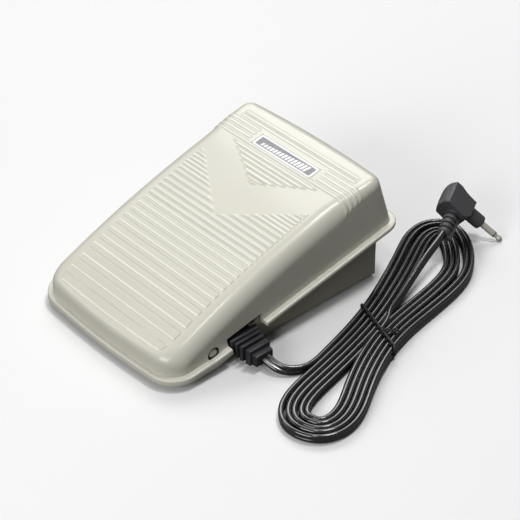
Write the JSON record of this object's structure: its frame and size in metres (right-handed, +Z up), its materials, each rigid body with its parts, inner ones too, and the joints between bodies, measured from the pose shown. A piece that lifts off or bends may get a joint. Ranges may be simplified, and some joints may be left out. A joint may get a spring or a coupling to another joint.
{
  "type": "sewing machine foot pedal",
  "caption": "Foot speed pedal for a sewing machine: ribbed hinged cover over a base tray, sprung, driving a potentiometer, with a bundled cord ending in a right-angle jack plug.",
  "frame": {"origin": "on the floor plane, at the centre of the four rubber feet", "axes": "+Z up; +Y from the low hinged toe end to the raised heel end of the pedal; +X across the pedal towards the side the cord leaves"},
  "size_m": [0.1865, 0.2193, 0.0634],
  "materials": {
    "cover_plastic": "satin moulded ABS, warm light grey",
    "base_plastic": "moulded ABS, warm light grey",
    "nameplate_film": "printed film label, pale grey with white border",
    "black_rubber": "moulded rubber",
    "steel": "zinc plated",
    "spring_steel": "drawn spring wire",
    "gear_plastic": "natural acetal",
    "dark_plastic": "black nylon",
    "brass": "turned brass",
    "nickel": "nickel plate",
    "aluminium_shaft": "turned aluminium",
    "board": "green solder mask",
    "capacitor_sleeve": "shrink sleeve",
    "resistor_body": "lacquered resistor body",
    "terminal_plastic": "green nylon",
    "wire_insulation": "vinyl wire insulation",
    "black_vinyl": "soft moulded vinyl",
    "cord_vinyl": "glossy extruded vinyl",
    "plug_vinyl": "moulded vinyl, dark grey"
  },
  "bodies": {
    "base": {"base_tray": "base_plastic", "rubber_feet": "black_rubber", "hinge_pins": "steel", "return_spring": "spring_steel", "travel_bumpers": "black_rubber", "pot_bracket": "steel", "bracket_screws": "steel", "pot_housing": "dark_plastic", "pot_bushing": "brass", "pot_washer": "steel", "pot_nut": "steel", "pot_terminals": "nickel", "circuit_board": "board", "board_screws": "steel", "capacitor": "capacitor_sleeve", "resistors": "resistor_body", "terminal_block": "terminal_plastic", "lead_wires": "wire_insulation", "cord_clamp": "dark_plastic", "clamp_screws": "steel", "strain_relief": "black_vinyl", "power_cord": "cord_vinyl", "cord_tie": "black_vinyl", "plug_body": "plug_vinyl", "plug_boot": "plug_vinyl", "jack_insulator": "dark_plastic", "jack_sleeve": "nickel", "jack_ring": "nickel", "jack_tip": "nickel"},
    "pedal": {"top_cover": "cover_plastic", "nameplate": "nameplate_film", "spring_cup": "steel", "sector_rack": "gear_plastic", "sector_screws": "steel"},
    "drive": {"pot_shaft": "aluminium_shaft", "drive_pinion": "gear_plastic"}
  },
  "joints": [
    {"name": "pedal_hinge", "type": "hinge", "parent": "base", "child": "pedal", "pos_m": [0, -0.046, 0.0112], "axis": [1, 0, 0], "range_deg": [-10, 0], "stiffness_Nm_per_rad": 2.5, "springref_deg": 14.32, "deforming": ["return_spring"]},
    {"name": "pot_spin", "type": "hinge", "parent": "base", "child": "drive", "pos_m": [-0.012, 0.03444, 0.02538], "axis": [1, 0, 0], "range_deg": [-5, 165]}
  ],
  "couplings": [
    {"joint": "pot_spin", "follows": "pedal_hinge", "ratio": -16}
  ]
}
